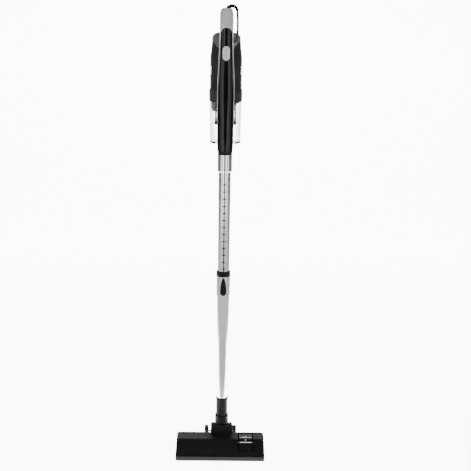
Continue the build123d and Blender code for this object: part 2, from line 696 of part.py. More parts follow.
def nozzle_seal():
    return tube(NOZZLE_R, NOZZLE_R - 2 * SEAL_WIRE_R, (SEAL_Z - SEAL_WIRE_R, SEAL_Z + SEAL_WIRE_R))


def housing_profile(inset):
    """Half the outline of the motor housing and its domed top, inset by a wall."""
    (r1, z1), (r2, z2) = SHOULDER
    wall = Polyline((0, 0, HOUSING_Z), (HOUSING_R - inset, 0, HOUSING_Z), (HOUSING_R - inset, 0, HOUSING_STRAIGHT_Z))
    side = Spline((HOUSING_R - inset, 0, HOUSING_STRAIGHT_Z), (r1 - inset, 0, z1), (r2 - inset, 0, z2 - inset))
    top = DOME_TOP_Z - inset
    mid = ((DOME_FLAT_R + r2 - inset) / 2 + 5.2, 0, (z2 - inset + top) / 2 + 3.6)
    crown = ThreePointArc((r2 - inset, 0, z2 - inset), mid, (DOME_FLAT_R, 0, top))
    lid = Polyline((DOME_FLAT_R, 0, top), (0, 0, top), (0, 0, HOUSING_Z))
    return Pos(0, CYL_Y, 0) * revolve(face_of(wall, side, crown, lid), Axis.Z)


def finger_notch(drop):
    """The space cut away behind the grip, for the fingers."""
    front_y = CYL_Y - HOUSING_R
    z = CAP_FRONT_Z + NOTCH_RISE - drop
    run = 100.0
    outline = [(front_y - 20, z - 20 * CAP_SLOPE), (front_y + run, z + run * CAP_SLOPE), (front_y - 20, z + run * CAP_SLOPE)]
    return side_prism(outline, (-60, 60))


def cap_region():
    front_y = CYL_Y - HOUSING_R
    run = (CAP_EDGE_Z - CAP_FRONT_Z) / CAP_SLOPE
    outline = [
        (front_y - 10, CAP_FRONT_Z - 10 * CAP_SLOPE),
        (front_y + run, CAP_EDGE_Z),
        (150, CAP_EDGE_Z),
        (150, 1200),
        (front_y - 10, 1200),
    ]
    return side_prism(outline, (-60, 60))


def housing_shell():
    """The housing and its cap in one, before they are split."""
    outer = housing_profile(0) - finger_notch(0)
    inner = housing_profile(HOUSING_WALL) - finger_notch(HOUSING_WALL * 1.55)
    shell = outer - inner
    for side in (-1, 1):
        shell -= grille_window(side, GAP / 2)
    return shell - web() - hook_seats()


def grille_window(side, grow):
    x = sorted((side * 25.0, side * 60.0))
    half = GRILLE_HALF + grow
    return box(x, (CYL_Y - half, CYL_Y + half), (GRILLE_Z[0] - grow, GRILLE_Z[1] + grow))


def exhaust_grille(side):
    plate = tube(HOUSING_R + GRILLE_PROUD, HOUSING_R - HOUSING_WALL, GRILLE_Z, 0, CYL_Y) & grille_window(side, 0)
    pitch = (GRILLE_Z[1] - GRILLE_Z[0]) / (GRILLE_SLOTS + 1)
    x = sorted((side * 20.0, side * 60.0))
    for i in range(GRILLE_SLOTS):
        z = GRILLE_Z[0] + pitch * (i + 1)
        plate -= box(x, (CYL_Y - GRILLE_HALF + 4, CYL_Y + GRILLE_HALF - 4), (z - 1.3, z + 1.3))
    return plate


def motor_housing(side):
    half = box(sorted((0, side * 60)), (-20, 130), (900, 1200))
    return (housing_shell() - cap_region()) & half


def top_cap():
    return housing_shell() & cap_region()


def exhaust_foam():
    return tube(HOUSING_R - HOUSING_WALL, HOUSING_R - HOUSING_WALL - 4, (GRILLE_Z[0], GRILLE_Z[1]), 0, CYL_Y)


def cup_collar():
    r_in = COLLAR_CUP_R - HOUSING_WALL
    collar = tube(COLLAR_CUP_R, r_in, (COLLAR_CUP_Z, HOUSING_Z), 0, CYL_Y)
    deck = (HOUSING_Z - 4.0, HOUSING_Z)
    collar += tube(r_in, FILTER_R + 4, deck, 0, CYL_Y)
    collar -= box((-PORT_HALF - 2, PORT_HALF + 2), (0, 24.0), (PORT_Z[0] - 2, PORT_Z[1] + 2))
    return collar - latch_space(GAP) - Pos(0, -LATCH_TRAVEL - GAP, 0) * latch_space(GAP)


def latch_space(grow):
    y = (CYL_Y + COLLAR_CUP_R - 3.0, CYL_Y + COLLAR_CUP_R + 3.0)
    return box((-9 - grow, 9 + grow), y, (946.0 - grow, 957.0 + grow))


def cup_latch():
    return latch_space(0)


def cup_seal():
    r = CUP_TOP_R - CUP_WALL - GAP
    return tube(r, r - 2.0, (COLLAR_CUP_Z, COLLAR_CUP_Z + 3), 0, CYL_Y)


def dust_cup():
    low, high = CUP_Z
    inner = [CUP_BOTTOM_R - CUP_WALL, CUP_TOP_R - CUP_WALL]
    profile = [
        (0, low),
        (CUP_BOTTOM_R - 1.5, low),
        (CUP_BOTTOM_R, low + 1.5),
        (CUP_TOP_R, high),
        (inner[1], high),
        (inner[0], low + CUP_WALL + 0.8),
        (0, low + CUP_WALL + 0.8),
    ]
    return turned(profile, 0, CYL_Y)


def cup_sweep(grow):
    """The room that the dust cup needs as it slides down."""
    return rod(CUP_TOP_R + grow, (CUP_Z[0] - CUP_TRAVEL, CUP_Z[1] + grow), 0, CYL_Y)


def cyclone_skirt():
    """A bowl round the stem whose lower edge climbs from one side to the other."""
    low = SKIRT_BOTTOM_Z
    r, wall = SKIRT_R, SKIRT_WALL
    profile = [
        (STEM_R + GAP, low),
        (r - 7.5, low),
        (r - 3.0, low + 3.0),
        (r, low + 12.0),
        (r, COLLAR_CUP_Z),
        (r - wall, COLLAR_CUP_Z),
        (r - wall, low + 12.5),
        (r - 4.6, low + 4.6),
        (STEM_R + GAP, low + wall),
    ]
    bowl = turned(profile, 0, CYL_Y)
    rise = SKIRT_CUT_SLOPE
    z = low - 1.0
    outline = [(-24, z), (60, z + 84 * rise), (60, low - 20), (-24, low - 20)]
    cut = extrude(make_face(Polyline(*[(x, 0, h) for x, h in outline], close=True)), 130, dir=(0, 1, 0))
    return bowl - cut


def mesh_stem():
    stem = tube(STEM_R, STEM_R - STEM_WALL, STEM_Z, 0, CYL_Y)
    window = box((STEM_R - 4, STEM_R + 2), (-2.0, 2.0), (STEM_Z[0] + 3, SKIRT_BOTTOM_Z + 4))
    return stem - [Pos(0, CYL_Y, 0) * Rot(0, 0, 360 * i / STEM_RIBS) * window for i in range(STEM_RIBS)]


def stem_flange():
    profile = [(0, FLANGE_Z[0]), (FLANGE_R, FLANGE_Z[0]), (STEM_R, FLANGE_Z[1]), (0, FLANGE_Z[1])]
    return turned(profile, 0, CYL_Y) - rod(STEM_R - 4, (FLANGE_Z[0] + 2, FLANGE_Z[1] + 1), 0, CYL_Y)


def cone_filter():
    z = (STEM_Z[0] + 4, HOUSING_Z - 5)
    core = tube(FILTER_R, FILTER_R - 7, z, 0, CYL_Y)
    pleat = box((FILTER_R - 3, FILTER_R + 1), (-1.2, 1.2), (z[0] + 2, z[1] - 6))
    return core - [Pos(0, CYL_Y, 0) * Rot(0, 0, 360 * i / FILTER_PLEATS) * pleat for i in range(FILTER_PLEATS)]


# Motor


def fan_cover():
    r = FAN_R + 1.5
    wall = tube(r + 1.5, r, (FAN_Z[0] - 3, BRACKET_Z[0]), 0, CYL_Y)
    return wall + tube(r, FAN_R / 2, (FAN_Z[0] - 3, FAN_Z[0] - 1.5), 0, CYL_Y)


def fan_impeller():
    z0, z1 = FAN_Z
    fan = tube(FAN_R, SHAFT_R, (z1 - 1.5, z1), 0, CYL_Y) + tube(SHAFT_R + 4, SHAFT_R, FAN_Z, 0, CYL_Y)
    blade = box((SHAFT_R + 3, FAN_R - 0.5), (-0.7, 0.7), (z0, z1 - 1))
    return fan + [Pos(0, CYL_Y, 0) * Rot(0, 0, 360 * i / 9) * blade for i in range(9)]


def motor_bracket():
    r = HOUSING_R - HOUSING_WALL
    plate = rod(r, BRACKET_Z, 0, CYL_Y) - rod(BEARING[0], BRACKET_Z, 0, CYL_Y)
    hole = rod(3.5, BRACKET_Z, 25.0, 0)
    return plate - [Pos(0, CYL_Y, 0) * Rot(0, 0, 60 * i) * hole for i in range(6)]


def motor_bearings():
    r, width = BEARING
    bore = SHAFT_R + RUNNING
    low = BRACKET_Z[0]
    rings = [tube(r, bore, (z, z + width), 0, CYL_Y) for z in (low, TOP_BEARING_Z)]
    return Compound(children=rings)


def motor_stator():
    stator = tube(*STATOR_R, STATOR_Z, 0, CYL_Y)
    return stator


def armature():
    z = (STATOR_Z[0] + 2, STATOR_Z[1] - 2)
    core = tube(ARMATURE_R, SHAFT_R, z, 0, CYL_Y)
    slot = box((ARMATURE_R - 4, ARMATURE_R + 1), (-1.2, 1.2), (z[0] - 1, z[1] + 1))
    core -= [Pos(0, CYL_Y, 0) * Rot(0, 0, 30 * i) * slot for i in range(12)]
    return core + tube(10.0, SHAFT_R, (z[1], z[1] + 7), 0, CYL_Y)


def carbon_brushes():
    z = STATOR_Z[1] + 1.5
    return Compound(children=[box(sorted((s * 10.4, s * 22.0)), (CYL_Y - 3, CYL_Y + 3), (z, z + 4)) for s in (-1, 1)])


def brush_holder():
    """The end frame above the stator, which carries the carbon brushes and the top bearing."""
    z = (TOP_BEARING_Z, TOP_BEARING_Z + BEARING[1])
    frame = tube(STATOR_R[0], BEARING[0], z, 0, CYL_Y)
    frame += tube(STATOR_R[0], 24.0, (STATOR_Z[1], z[0]), 0, CYL_Y)
    return frame


# Cord, plug and what holds them


def hook_seats():
    """The sockets of the two cord hooks in the back of the housing."""
    y = (CYL_Y + HOUSING_R - HOUSING_WALL - 3, CYL_Y + HOUSING_R + 1)
    return [box((-8, 8), y, (z - 6, z + 6)) for z in hook_heights()]


def hook_heights():
    half = HANK_STRAIGHT / 2
    return (HANK_Z - half, HANK_Z + half)


def cord_hooks():
    low, high = hook_heights()
    hooks = []
    root = CYL_Y + HOUSING_R - HOUSING_WALL
    for z, side in ((low, -1), (high, 1)):
        post = box((-8, 8), (root, HANK_Y[1] + 4), (z - 6, z + 6))
        lip = box((-8, 8), (HANK_Y[1] + 1, HANK_Y[1] + 4), sorted((z, z + side * 22)))
        hooks.append(post + lip)
    return Compound(children=hooks)


def stadium(r, z=HANK_Z):
    face = SlotCenterToCenter(HANK_STRAIGHT, 2 * r)
    return Pos(0, HANK_Y[1], z) * Rot(90, 0, 0) * Rot(0, 0, 90) * extrude(face, HANK_Y[1] - HANK_Y[0])


def cord_hank():
    return stadium(HANK_OUTER_R) - stadium(HANK_INNER_R)


def plug_middle():
    """y of the plug's axis, on the back of the hank."""
    return HANK_Y[1] + PLUG_BODY[1] / 2


def plug_body():
    """The plug, standing on the back of the hank with its pins down and its cable end up."""
    width, depth, height = PLUG_BODY
    y = plug_middle()
    z = (HANK_Z - height / 2, HANK_Z + height / 2)
    body = box((PLUG_X - width / 2, PLUG_X + width / 2), (y - depth / 2, y + depth / 2), z)
    body = fillet(body.edges().filter_by(Axis.Z), 7.0) - plug_pins_solid()
    low_r, high_r, length = PLUG_BOOT
    return body + Pos(PLUG_X, y, z[1] + length / 2) * Cone(low_r, high_r, length)


def plug_pins_solid():
    low = HANK_Z - PLUG_BODY[2] / 2
    x = (PLUG_X - PIN_SPACING / 2, PLUG_X + PIN_SPACING / 2)
    return [rod(PIN_R, (low - PIN_LENGTH, low + 8), at, plug_middle()) for at in x]


def cord_tie():
    """A strap round the hank and the plug on its back."""
    height, thickness = TIE
    low = HANK_Z - height / 2
    back = HANK_Y[1] + PLUG_BODY[1]
    plug_x = (PLUG_X - PLUG_BODY[0] / 2, PLUG_X + PLUG_BODY[0] / 2)
    r = HANK_OUTER_R
    outline = [(-r, HANK_Y[0]), (r, HANK_Y[0]), (r, HANK_Y[1]), (plug_x[1], back), (plug_x[0], back), (-r, HANK_Y[1])]
    face = make_face(Polyline(*[(x, y, low) for x, y in outline], close=True))
    return extrude(offset(face, thickness) - face, height, dir=(0, 0, 1))


def boot_path(grow):
    """The strain relief: a tapered boot that bends over to the side, and its seat in the handle."""
    x, z, radius = BOOT_ARC
    ends = (168.0, 6.0)
    turn = (ends[0] - ends[1]) / 4
    faces = []
    for i in range(5):
        a = ends[0] - i * turn
        share = i / 4
        at = (x + radius * cos(radians(a)), 0, z + radius * sin(radians(a)))
        along = (sin(radians(a)), 0, -cos(radians(a)))
        r = BOOT_R[0] + (BOOT_R[1] - BOOT_R[0]) * share + grow
        faces.append(Plane(origin=at, z_dir=along) * Circle(r))
    return loft(faces)


def strain_relief():
    return boot_path(0.0)


def cord_radii(points):
    """The bend at each corner: as large as the two runs beside it allow."""
    radii = []
    for a, b, c in zip(points, points[1:], points[2:]):
        before, after = Vector(*b) - Vector(*a), Vector(*c) - Vector(*b)
        run = min(before.length, after.length)
        radii.append(0.45 * run / tan(radians(before.get_angle(after)) / 2))
    return radii


def cord():
    radii = cord_radii(CORD_ROUTE)
    path = FilletPolyline(*CORD_ROUTE, radius=radii)
    start = Plane(origin=CORD_ROUTE[0], z_dir=Vector(*CORD_ROUTE[1]) - Vector(*CORD_ROUTE[0]))
    solid = sweep(start * Circle(CORD_R), path=path)
    print("cord radii", [round(r, 1) for r in radii], "length", round(path.length, 1))
    print("cord volume", round(solid.volume), "section x length", round(3.14159265 * CORD_R**2 * path.length))
    return solid


def make_head():
    keep("base_plate", base_plate())
    keep("head_cover", head_cover())
    keep("front_bumper", front_bumper())
    keep("lint_strips", Compound(children=[lint_strip(y, 0.0) for y in LINT_Y]))
    keep("head_screws", head_screws())
    keep("pedal", pedal())
    keep("pedal_pin", pedal_pin())
    keep("brush_frame", brush_frame())
    keep("brush_bristles", brush_bristles())
    keep("wheel_axle", wheel_axle())
    for name, side in (("left", -1), ("right", 1)):
        hub, tread = wheel(side)
        keep("wheel_" + name, hub)
        keep("tread_" + name, tread)


def make_wand():
    pieces = {
        "elbow_barrel": elbow_barrel(),
        "barrel_end_caps": barrel_end_caps(),
        "swivel_ring": swivel_ring(),
        "neck_socket": neck_socket(),
        "outer_tube": outer_tube(),
        "tube_collar": tube_collar(),
        "collar_ring": collar_ring(),
        "tube_button": tube_button(),
        "inner_tube": inner_tube(),
        "wand_sleeve": wand_sleeve(),
    }
    for name, shape in pieces.items():
        keep(name, leaned(shape))


def make_handheld():
    pieces = {
        "nozzle": nozzle(),
        "nozzle_seal": nozzle_seal(),
        "handle_shell": handle_shell(),
        "spine_cover": spine_cover(),
        "power_button": power_button(),
        "power_switch": power_switch(),
        "motor_housing_left": motor_housing(-1),
        "motor_housing_right": motor_housing(1),
        "top_cap": top_cap(),
        "exhaust_grille_left": exhaust_grille(-1),
        "exhaust_grille_right": exhaust_grille(1),
        "exhaust_foam": exhaust_foam(),
        "cup_collar": cup_collar(),
        "cup_latch": cup_latch(),
        "cup_seal": cup_seal(),
        "dust_cup": dust_cup(),
        "cyclone_skirt": cyclone_skirt(),
        "mesh_stem": mesh_stem(),
        "stem_flange": stem_flange(),
        "cone_filter": cone_filter(),
        "fan_cover": fan_cover(),
        "fan_impeller": fan_impeller(),
        "motor_bracket": motor_bracket(),
        "motor_bearings": motor_bearings(),
        "motor_stator": motor_stator(),
        "armature": armature(),
        "motor_shaft": rod(SHAFT_R, SHAFT_Z, 0, CYL_Y),
        "carbon_brushes": carbon_brushes(),
        "brush_holder": brush_holder(),
    }
    for name, shape in pieces.items():
        keep(name, leaned(shape))


def make_cord():
    pieces = {
        "cord_hooks": cord_hooks(),
        "strain_relief": strain_relief(),
        "cord": cord(),
        "cord_hank": cord_hank(),
        "cord_tie": cord_tie(),
        "plug_body": plug_body(),
        "plug_pins": Compound(children=plug_pins_solid()),
    }
    for name, shape in pieces.items():
        keep(name, leaned(shape))


make_head()
make_wand()
make_handheld()
make_cord()
os.makedirs("parts", exist_ok=True)
for name, shape in parts.items():
    export_step(shape, f"parts/{name}.step")
print(len(parts), "nodes")
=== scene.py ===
"""Looks for the corded stick vacuum: materials, cord, plug, tie, bristles and small details.

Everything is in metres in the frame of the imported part. Places on the wand and on the hand-held unit are
written upright about the wand's axis, with heights above the floor, and leaned() brings them to their
parked place, as the part itself does.
"""

import math
import random

import bmesh
import bpy
from mathutils import Matrix, Vector


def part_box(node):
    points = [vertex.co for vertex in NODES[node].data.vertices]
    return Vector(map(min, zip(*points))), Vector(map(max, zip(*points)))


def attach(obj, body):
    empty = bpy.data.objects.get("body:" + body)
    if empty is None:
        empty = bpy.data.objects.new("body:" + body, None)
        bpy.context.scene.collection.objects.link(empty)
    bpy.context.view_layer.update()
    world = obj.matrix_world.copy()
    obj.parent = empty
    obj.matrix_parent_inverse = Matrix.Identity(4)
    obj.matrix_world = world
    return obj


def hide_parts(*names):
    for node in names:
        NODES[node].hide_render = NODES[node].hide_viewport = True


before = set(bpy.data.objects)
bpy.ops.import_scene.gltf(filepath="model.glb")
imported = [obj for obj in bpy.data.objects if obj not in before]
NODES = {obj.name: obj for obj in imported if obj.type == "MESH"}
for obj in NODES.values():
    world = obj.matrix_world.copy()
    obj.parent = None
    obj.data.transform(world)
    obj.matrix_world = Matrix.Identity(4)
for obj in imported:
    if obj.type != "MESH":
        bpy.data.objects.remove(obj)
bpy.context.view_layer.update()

MM = 0.001
# The lean of the wand about the head's pitch axis
LEAN_DEG = 5.0
PIVOT = Vector((3.0, 73.0, 33.0)) * MM
# The cylinder of motor and dust cup
CYL_Y = 62.0
# Cord and hank
INNER_TUBE_R = 16.0
GROOVE_HALF = 1.5
NOTCHES = 13
NOTCH_PITCH = 18.64
NOTCH_TOP_Z = 734.4
NOTCH_HALF = 5.0
NOTCH_DROP = 2.4
NOTCH_FLOOR_R = 15.25
# Height of the dark chevrons painted as shade at each notch
NOTCH_MARK_HEIGHT = 2.8
SLEEVE_R = 18.9
SLEEVE_Z = (766.0, 810.0)

CORD_R = 2.8
PITCH = 2 * CORD_R
HANK_Z = 1024.0
HANK_STRAIGHT = 51.0
HANK_FRONT_Y = 105.0
HANK_DEPTH = 5 * PITCH
INNER_TURN_R = 17.0
TURNS = 4
PLUG_X = -17.0
PLUG_Y = 144.0
PLUG_SIZE = (32.0, 22.0, 38.0)
PLUG_BOOT = (5.4, 4.2, 12.0)
PIN_SPACING = 19.0
TIE_HEIGHT = 14.0
TIE_THICKNESS = 1.2
# Strain relief at the top of the handle
BOOT_ARC = (13.0, 1157.0, 12.0)
BOOT_ENDS = (168.0, 6.0)
BOOT_R = (5.2, 4.0)
# Floor head
PEDAL_X = 69.0
PEDAL_WIDTH = 35.6
BRUSH_Y = (-37.0, 38.0)
BRUSH_LENGTH = 204.0
BRISTLE_TIP_Z = 0.8
BRISTLE_TOP_Z = 7.2

CORD_ROUTE = (
    (24.93, 0.0, 1158.25),
    (26.6, 0.0, 1142.3),
    (27.0, 1.4, 1124.0),
    (26.8, 4.0, 1106.5),
    (24.6, 8.0, 1089.0),
    (16.2, 15.0, 1075.3),
    (1.5, 25.5, 1076.2),
    (-7.8, 36.5, 1090.2),
    (-10.5, 50.5, 1106.8),
    (-9.5, 68.0, 1116.0),
    (-6.0, 87.0, 1118.0),
    (-2.5, 103.5, 1114.5),
    (-3.0, 112.5, 1103.0),
    (-9.0, 113.4, 1090.5),
)


def leaned(x, y, z):
    """A point drawn upright about the wand's axis, at its parked place."""
    turn = Matrix.Rotation(math.radians(LEAN_DEG), 3, "X")
    return PIVOT + turn @ (Vector((x, y, z - 33.0)) * MM)


# Materials


class Nodes:
    """A material's node tree, with short names for the few nodes that all the materials use."""

    def __init__(self, name):
        self.material = bpy.data.materials.new(name)
        self.material.use_nodes = True
        self.tree = self.material.node_tree
        self.shader = self.tree.nodes["Principled BSDF"]
        self.coords = self.add("ShaderNodeTexCoord").outputs["Object"]

    def add(self, kind, **settings):
        node = self.tree.nodes.new(kind)
        for key, value in settings.items():
            setattr(node, key, value)
        return node

    def link(self, a, b):
        self.tree.links.new(a, b)

    def set(self, **sockets):
        for key, value in sockets.items():
            self.shader.inputs[key.replace("_", " ")].default_value = value

    def stretched(self, scale):
        node = self.add("ShaderNodeMapping")
        node.inputs["Scale"].default_value = scale
        self.link(self.coords, node.inputs["Vector"])
        return node.outputs["Vector"]

    def noise(self, scale, detail=3.0, at=None):
        node = self.add("ShaderNodeTexNoise")
        node.inputs["Scale"].default_value = scale
        node.inputs["Detail"].default_value = detail
        self.link(at or self.coords, node.inputs["Vector"])
        return node.outputs["Fac"]

    def ramp(self, value, low, high, start=0.3, end=0.7):
        node = self.add("ShaderNodeValToRGB")
        ramp = node.color_ramp
        ramp.elements[0].position, ramp.elements[1].position = start, end
        ramp.elements[0].color, ramp.elements[1].color = (*low, 1), (*high, 1)
        self.link(value, node.inputs["Fac"])
        return node.outputs["Color"]

    def between(self, value, low, high):
        node = self.add("ShaderNodeMapRange")
        node.inputs["To Min"].default_value = low
        node.inputs["To Max"].default_value = high
        self.link(value, node.inputs["Value"])
        return node.outputs["Result"]

    def bump(self, value, strength, distance):
        node = self.add("ShaderNodeBump")
        node.inputs["Strength"].default_value = strength
        node.inputs["Distance"].default_value = distance
        self.link(value, node.inputs["Height"])
        self.link(node.outputs["Normal"], self.shader.inputs["Normal"])


def shade(colour, factor):
    return tuple(min(1.0, c * factor) for c in colour)


def plastic(name, colour, rough, grain=900.0, depth=0.00006, spread=0.12, coat=0.0, level=0.5):
    """Moulded plastic: a fine spark-eroded grain, slight mottling, and roughness that follows wear."""
    m = Nodes(name)
    mottle = m.noise(38.0, 4.0)
    colours = m.ramp(mottle, shade(colour, 1 - spread), shade(colour, 1 + spread))
    m.link(colours, m.shader.inputs["Base Color"])
    worn = m.noise(150.0, 5.0)
    m.link(m.between(worn, max(0.02, rough - 0.06), rough + 0.06), m.shader.inputs["Roughness"])
    m.bump(m.noise(grain, 2.0), 0.25, depth)
    m.set(Coat_Weight=coat, Coat_Roughness=0.05, Specular_IOR_Level=level)
    return m.material


def metal(name, colour, rough, stretch=(40.0, 40.0, 900.0), anisotropy=0.0):
    """Bare or plated metal with fine drawn or turned lines."""
    m = Nodes(name)
    lines = m.noise(1.0, 4.0, m.stretched(stretch))
    m.link(m.ramp(lines, shade(colour, 0.93), shade(colour, 1.05)), m.shader.inputs["Base Color"])
    m.link(m.between(lines, max(0.02, rough - 0.03), rough + 0.05), m.shader.inputs["Roughness"])
    m.bump(lines, 0.05, 0.00002)
    m.set(Metallic=1.0, Anisotropic=anisotropy)
    return m.material


def clear(name, colour, rough, middle, edge):
    """Thin clear plastic: nearly unseen face on, tinted where it is seen along its wall."""
    m = Nodes(name)
    flow = m.noise(30.0, 3.0)
    m.link(m.ramp(flow, shade(colour, 0.9), shade(colour, 1.1)), m.shader.inputs["Base Color"])
    scratches = m.noise(1.0, 5.0, m.stretched((600.0, 600.0, 60.0)))
    m.link(m.between(scratches, rough, rough + 0.05), m.shader.inputs["Roughness"])
    wall = m.add("ShaderNodeLayerWeight")
    wall.inputs["Blend"].default_value = 0.25
    m.link(m.between(wall.outputs["Facing"], middle, edge), m.shader.inputs["Alpha"])
    m.bump(flow, 0.03, 0.0001)
    return m.material


def fabric(name, colour, scale, rough=0.95, sheen=0.3):
    """Woven or felted fibre: two crossed waves broken up by noise."""
    m = Nodes(name)
    over = m.add("ShaderNodeTexWave", bands_direction="X")
    under = m.add("ShaderNodeTexWave", bands_direction="Z")
    for wave in (over, under):
        wave.inputs["Scale"].default_value = scale
        wave.inputs["Distortion"].default_value = 1.5
        m.link(m.coords, wave.inputs["Vector"])
    weave = m.add("ShaderNodeMath", operation="MULTIPLY")
    m.link(over.outputs["Fac"], weave.inputs[0])
    m.link(under.outputs["Fac"], weave.inputs[1])
    value = weave.outputs["Value"]
    m.link(m.ramp(value, shade(colour, 0.6), shade(colour, 1.3), 0.1, 0.9), m.shader.inputs["Base Color"])
    m.bump(value, 0.5, 0.0003)
    m.set(Roughness=rough, Sheen_Weight=sheen, Sheen_Roughness=0.5)
    return m.material


def handle_with_painted_top_light():
    """The handle shell's silver with painted light from above: lighter at the top, fading by height to dark grey
    further down.
    """
    m = Nodes("handle_with_painted_top_light")
    split = m.add("ShaderNodeSeparateXYZ")
    m.link(m.coords, split.inputs["Vector"])
    # Painted light: the colour is lighter higher up the handle, as if lit from above
    reach = m.add("ShaderNodeMapRange")
    reach.inputs["From Min"].default_value, reach.inputs["From Max"].default_value = TOP_LIGHT_FADE
    m.link(split.outputs["Z"], reach.inputs["Value"])
    colours = m.ramp(reach.outputs["Result"], (0.030, 0.030, 0.030), (0.50, 0.49, 0.50), 0.0, 1.0)
    m.link(colours, m.shader.inputs["Base Color"])
    flakes = m.noise(1400.0, 2.0)
    m.link(m.between(flakes, 0.28, 0.4), m.shader.inputs["Roughness"])
    m.bump(flakes, 0.15, 0.00003)
    m.set(Specular_IOR_Level=0.2)
    return m.material


# Heights between which the handle's painted top light fades from silver to dark grey
TOP_LIGHT_FADE = (0.96, 1.105)
BLACK = (0.009, 0.009, 0.0095)
MATERIALS = {
    "black_plastic": plastic("black_plastic", BLACK, 0.5, level=0.06),
    "head_plastic": plastic("head_plastic", (0.013, 0.0126, 0.0126), 0.65, grain=1300.0, level=0.05),
    "gloss_black": plastic("gloss_black", (0.0025, 0.0025, 0.003), 0.1, depth=0.00001, coat=0.15, level=0.3),
    # The handle shell's silver, with painted light that makes it lighter towards the top
    "handle_with_painted_top_light": handle_with_painted_top_light(),
    "silver_paint": metal("silver_paint", (0.62, 0.61, 0.62), 0.38, (900.0, 900.0, 900.0)),
    "grey_plastic": plastic("grey_plastic", (0.13, 0.13, 0.13), 0.5, level=0.3),
    "light_grey": plastic("light_grey", (0.42, 0.42, 0.41), 0.5, spread=0.06),
    "housing_plastic": plastic("housing_plastic", (0.030, 0.026, 0.025), 0.45, level=0.1),
    "smoky_plastic": plastic("smoky_plastic", (0.030, 0.041, 0.037), 0.25, depth=0.00002, coat=0.1, level=0.35),
    "skirt_plastic": plastic("skirt_plastic", (0.020, 0.029, 0.027), 0.3, depth=0.00002, coat=0.1, level=0.3),
    "clear_plastic": clear("clear_plastic", (0.30, 0.36, 0.33), 0.04, 0.05, 0.85),
    "chrome": metal("chrome", (0.93, 0.93, 0.94), 0.14, (60.0, 60.0, 2200.0)),
    "steel": metal("steel", (0.52, 0.52, 0.53), 0.3),
    "brass": metal("brass", (0.72, 0.52, 0.22), 0.24, (200.0, 200.0, 1500.0)),
    "rubber": plastic("rubber", (0.014, 0.014, 0.014), 0.75, grain=1500.0, depth=0.0001, level=0.04),
    "cord_jacket": plastic("cord_jacket", (0.016, 0.016, 0.016), 0.5, grain=700.0, depth=0.00008),
    "tread": plastic("tread", (0.03, 0.03, 0.03), 0.75, grain=1800.0, depth=0.00015, level=0.3),
    "bristle": fabric("bristle", (0.05, 0.05, 0.05), 900.0, 0.6, 0.1),
    "red_felt": fabric("red_felt", (0.35, 0.03, 0.03), 700.0),
    "strap_fabric": fabric("strap_fabric", (0.03, 0.03, 0.03), 500.0),
    "filter_fabric": fabric("filter_fabric", (0.55, 0.54, 0.5), 420.0),
    "white_mark": plastic("white_mark", (0.8, 0.8, 0.8), 0.45, spread=0.02),
    # dark_line: dark plastic used as painted shade in the wand's groove and notches, and for the groove's line on
    # the sleeve
    "dark_line": plastic("dark_line", (0.02, 0.02, 0.02), 0.6, level=0.1),
}
FINISH = {
    "head_plastic": "base_plate head_cover pedal brush_frame",
    "rubber": "front_bumper cup_seal nozzle_seal",
    "tread": "tread_left tread_right",
    "red_felt": "lint_strips",
    "steel": "head_screws pedal_pin wheel_axle motor_shaft motor_stator armature motor_bearings",
    "black_plastic": "wheel_left wheel_right elbow_barrel barrel_end_caps swivel_ring neck_socket "
    "collar_ring tube_button nozzle power_switch cord_hooks motor_bracket "
    "brush_holder stem_flange fan_cover",
    "chrome": "outer_tube inner_tube tube_collar wand_sleeve",
    "handle_with_painted_top_light": "handle_shell",
    "gloss_black": "spine_cover",
    "silver_paint": "power_button",
    "housing_plastic": "motor_housing_left motor_housing_right exhaust_grille_left exhaust_grille_right",
    "grey_plastic": "top_cap cup_latch fan_impeller",
    "light_grey": "mesh_stem",
    "smoky_plastic": "cup_collar",
    "skirt_plastic": "cyclone_skirt",
    "clear_plastic": "dust_cup",
    "filter_fabric": "exhaust_foam cone_filter",
    "brass": "carbon_brushes",
}


def dress(obj, finish):
    obj.data.materials.clear()
    obj.data.materials.append(MATERIALS[finish])


for finish, nodes in FINISH.items():
    for node in nodes.split():
        dress(NODES[node], finish)


# Mesh helpers


def new_piece(name, bm, body, finish, smooth=True):
    mesh = bpy.data.meshes.new(name)
    bmesh.ops.recalc_face_normals(bm, faces=bm.faces)
    bm.to_mesh(mesh)
    bm.free()
    obj = bpy.data.objects.new(name, mesh)
    bpy.context.scene.collection.objects.link(obj)
    for face in mesh.polygons:
        face.use_smooth = smooth
    mesh.materials.append(MATERIALS[finish])
    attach(obj, body)
    return obj


def bevelled(obj, width, segments=3):
    """Rounds the edges of a piece and keeps its large faces flat-shaded."""
    bevel = obj.modifiers.new("bevel", "BEVEL")
    bevel.width, bevel.segments, bevel.limit_method = width * MM, segments, "ANGLE"
    bevel.harden_normals = True
    return obj


def skinned(rings, bm=None, closed=False):
    """Faces between rings of points that each have the same number; the ends are capped."""
    bm = bm or bmesh.new()
    rows = [[bm.verts.new(p) for p in ring] for ring in rings]
    pairs = list(zip(rows, rows[1:])) + ([(rows[-1], rows[0])] if closed else [])
    for low, high in pairs:
        for i in range(len(low)):
            j = (i + 1) % len(low)
            bm.faces.new((low[i], low[j], high[j], high[i]))
    if not closed:
        bm.faces.new(rows[0][::-1])
        bm.faces.new(rows[-1])
    return bm


def ring_at(centre, side, up, radius, count=24):
    """A circle of points in the plane of two directions."""
    angles = [2 * math.pi * i / count for i in range(count)]
    return [centre + (side * math.cos(a) + up * math.sin(a)) * radius for a in angles]


def box_piece(bm, x, y, z, place):
    """A box between two x, y and z values, with its corners put in place by a function."""
    corners = [bm.verts.new(place(a, b, c)) for a in x for b in y for c in z]
    for quad in ((0, 1, 3, 2), (4, 6, 7, 5), (0, 4, 5, 1), (2, 3, 7, 6), (0, 2, 6, 4), (1, 5, 7, 3)):
        bm.faces.new([corners[i] for i in quad])
    return bm


def upright(x, y, z):
    return Vector((x, y, z)) * MM


# Camera, floor and lights

